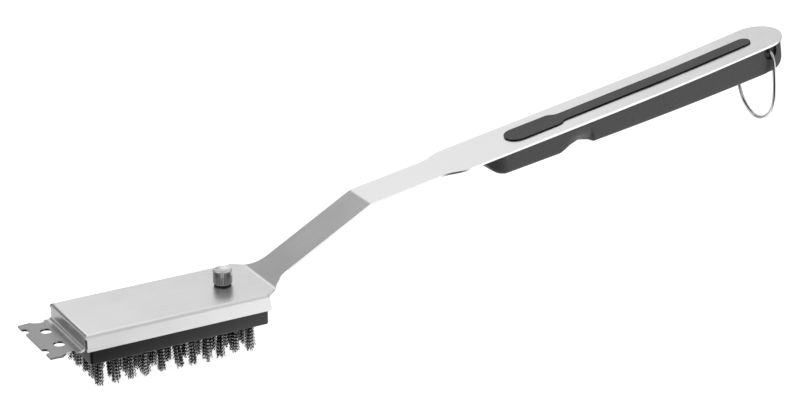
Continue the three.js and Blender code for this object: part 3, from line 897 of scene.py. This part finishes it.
def hanging_loop():
    """The loop as it hangs, leaning a little; its wire is slightly rounded off at both ends."""
    path = loop_path(10)
    last = len(path) - 1
    lean = Matrix.Rotation(-LOOP_LEAN, 3, "Y")
    pivot = on_handle(LOOP_S, 0, handle_rise(LOOP_S) - LOOP_DEPTH)
    sections = []
    for i, point in enumerate(path):
        heading = (path[min(i + 1, last)] - path[max(i - 1, 0)]).normalized()
        up = heading.cross(ALONG_X).normalized()
        radius = LOOP_WIRE * (0.8 if i in (0, last) else 1)
        sections.append(ring(pivot + lean @ point, lean @ ALONG_X, lean @ up, radius, 20))
    return clean(lofted("loop_wire", sections))


# ---------------------------------------------------------------- the stage


def floor(reach=6000):
    """White paper just under the bristle tips."""
    corners = [(-reach, -reach, 0), (reach, -reach, 0), (reach, reach, 0), (-reach, reach, 0)]
    plane = new_piece("floor", corners, [(0, 1, 2, 3)])
    plane.visible_glossy = False
    plane.data.materials.append(floor_paper())
    plane.location.z = cad_box[0].z - FLOOR_GAP * MM


def studio_world():
    """A light tent, white to the camera. The steel sees its panels, some brighter and some darker.

    Every panel adds to the tent's level or takes from it, and the opening at the front left is dark.
    """
    world = bpy.data.worlds.new("studio")
    bpy.context.scene.world = world
    world.use_nodes = True
    tent = Nodes(world.node_tree)
    towards = tent.node("ShaderNodeTexCoord").outputs["Generated"]
    side, depth, height = tent.axes(towards).values()
    behind = tent.rise(depth, 0.45, 0.65)
    front = tent.rise(depth, 0.0, -0.3)
    opening = tent.node("ShaderNodeVectorMath", {"operation": "DOT_PRODUCT"})
    tent.feed(opening.inputs[0], towards)
    tent.feed(opening.inputs[1], Vector((-0.64, -0.72, -0.27)).normalized())

    rear_wall = tent.product(behind, tent.between(height, -0.36, 0.44, 0.36, 0.52, "SMOOTHSTEP"))
    rear_left = tent.product(behind, tent.rise(side, 0.2, -0.02), tent.rise(height, 0.12, 0.3), -0.95)
    rear_right = tent.product(behind, tent.rise(side, 0.37, 0.45), tent.rise(height, 0.46, 0.53), -1.5)
    low_lamp = tent.product(front, tent.rise(side, 0.28, 0.6), tent.rise(height, 0.1, -0.2), 1.1)
    front_left = tent.product(front, tent.rise(side, 0.43, 0.31), -0.45)
    table = tent.product(tent.rise(height, -0.5, -0.8), 0.6)
    far_right = tent.product(tent.rise(side, 0.7, 0.9), -0.5)
    level = 1.02
    for panel in (rear_wall, rear_left, rear_right, low_lamp, front_left, table, far_right):
        level = tent.math("ADD", level, panel)

    in_opening = tent.rise(opening.outputs["Value"], 0.45, 0.88)
    dark = tent.product(in_opening, tent.rise(height, 0.12, -0.08), -0.95)
    level = tent.product(level, tent.math("ADD", dark, 1.0))
    seen = tent.node("ShaderNodeLightPath").outputs["Is Camera Ray"]
    background = world.node_tree.nodes["Background"]
    tent.feed(background.inputs["Strength"], tent.math("MAXIMUM", level, seen))
    tent.feed(background.inputs["Color"], (1, 1, 1, 1))


def ceiling_light():
    """A large soft lamp overhead that the steel doesn't mirror."""
    data = bpy.data.lights.new("ceiling", "AREA")
    data.shape = "DISK"
    data.size = 1.2
    data.energy = 3
    light = bpy.data.objects.new("ceiling", data)
    bpy.context.scene.collection.objects.link(light)
    place, target = Vector((0.2, 0.1, 1.6)), Vector((0.15, 0, 0.05))
    light.location = place
    light.rotation_euler = (target - place).to_track_quat("-Z", "Y").to_euler()
    light.visible_glossy = False


def camera():
    """The product view: from the front left, above the brush."""
    azimuth, elevation = math.radians(-30.01), math.radians(21.83)
    back = Vector((
        math.sin(azimuth) * math.cos(elevation),
        -math.cos(azimuth) * math.cos(elevation),
        math.sin(elevation),
    ))
    target, distance = Vector((0.1514, 0, 0.0601)), 1.3522
    data = bpy.data.cameras.new("product_view")
    data.lens = 106.7
    data.clip_start = 0.05
    data.clip_end = 50
    viewer = bpy.data.objects.new("product_view", data)
    bpy.context.scene.collection.objects.link(viewer)
    viewer.location = target + back * distance
    viewer.rotation_euler = (-back).to_track_quat("-Z", "Y").to_euler()
    bpy.context.scene.camera = viewer


# ---------------------------------------------------------------- assembly


def build_frame():
    steel = brushed_steel()
    install(refined("steel_frame", "folded_sheet", 0.28, 3), "frame", "sheet_steel", steel, "steel_frame")
    rubber = moulded_plastic("rubber", (0.012, 0.02), 0.25, 0.02, 0.75)
    install(rubber_washer(), "washer", "washer", rubber, "screw_washer")
    turned_steel = knob_steel()
    install(knurled_knob(), "screw", "knob_steel", turned_steel, "thumb_screw")
    install(threaded_shank(), "screw", "knob_steel", turned_steel, "thumb_screw")


def build_brush():
    chance = random.Random(SEED)
    black = moulded_plastic("block_plastic", (0.003, 0.005), 0.35, 0.015, 0.3, sheen=0.38)
    install(brush_block(), "brush", "block_plastic", black, "brush_block")
    install(block_cover(), "brush", "block_plastic", black, "block_cover")
    insert = refined("threaded_insert", "brass_insert", 0.15)
    install(insert, "brush", "insert_brass", brass(), "threaded_insert")
    wire = bristle_wire()
    for row in range(TUFT_ROWS):
        install(bristle_row(row, chance), "brush", "bristle_wire", wire, f"tuft_row_{row + 1:02d}")


def build_grip():
    soft = moulded_plastic("grip_plastic", (0.024, 0.038), 0.5, 0.03, 0.5)
    install(grip_shell(), "frame", "grip_plastic", soft, "grip_shell")
    grained = moulded_plastic(
        "inlay_plastic", (0.072, 0.092), 0.45, 0.06, 0.7, sheen=0.18, side_shade_share=0.1
    )
    inlay = refined("grip_inlay", "grip_inlay_body", 0.12)
    install(inlay, "frame", "inlay_plastic", grained, "grip_inlay")
    plating = zinc()
    for place, s in GRIP_SCREW_STATIONS.items():
        install(grip_screw(place, s), "frame", "screw_steel", plating, f"grip_screw_{place}")
    install(hanging_loop(), "loop", "loop_steel", bright_wire(), "hanging_loop")


build_frame()
build_brush()
build_grip()
floor()
studio_world()
ceiling_light()
camera()
bpy.context.scene.view_settings.view_transform = "Standard"
